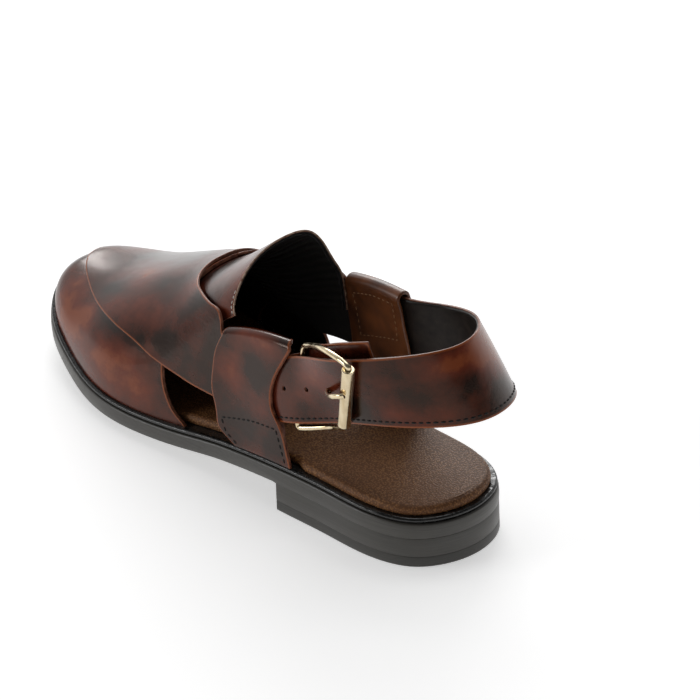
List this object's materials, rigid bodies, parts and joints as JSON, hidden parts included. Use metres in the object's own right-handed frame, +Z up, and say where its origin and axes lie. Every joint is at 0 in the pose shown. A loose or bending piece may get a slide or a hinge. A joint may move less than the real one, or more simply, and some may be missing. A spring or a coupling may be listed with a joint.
{
  "type": "peshawari chappal",
  "caption": "Left peshawari chappal with crossed vamp panels, a raised tongue, folded side straps, a buckled heel strap and a low stacked heel.",
  "frame": {"origin": "on the floor under the middle of the heel lift", "axes": "+Y towards the toe along the sole, +X towards the inner side of the foot, +Z up"},
  "size_m": [0.1011, 0.2982, 0.1107],
  "materials": {
    "burnished_brown": "glossy burnished dark brown leather",
    "black_lining": "matt black lining leather",
    "brown_footbed": "pebbled brown padded leather",
    "black_edge": "glossy black dyed edge",
    "dark_sole": "satin dark grey dyed leather",
    "heel_rubber": "black rubber",
    "raw_leather": "plain brown leather",
    "pale_gold": "polished pale gold plating"
  },
  "bodies": {
    "root": {"outsole": "dark_sole", "midsole": "black_edge", "heel_block": "dark_sole", "heel_lift": "heel_rubber", "insole": "brown_footbed", "upper": "burnished_brown", "tongue": "black_lining", "side_strap_outer": "burnished_brown", "side_strap_inner": "burnished_brown", "heel_strap": "burnished_brown", "buckle_tab": "raw_leather", "buckle_frame": "pale_gold", "buckle_roller": "pale_gold", "buckle_prong": "pale_gold"}
  },
  "joints": []
}
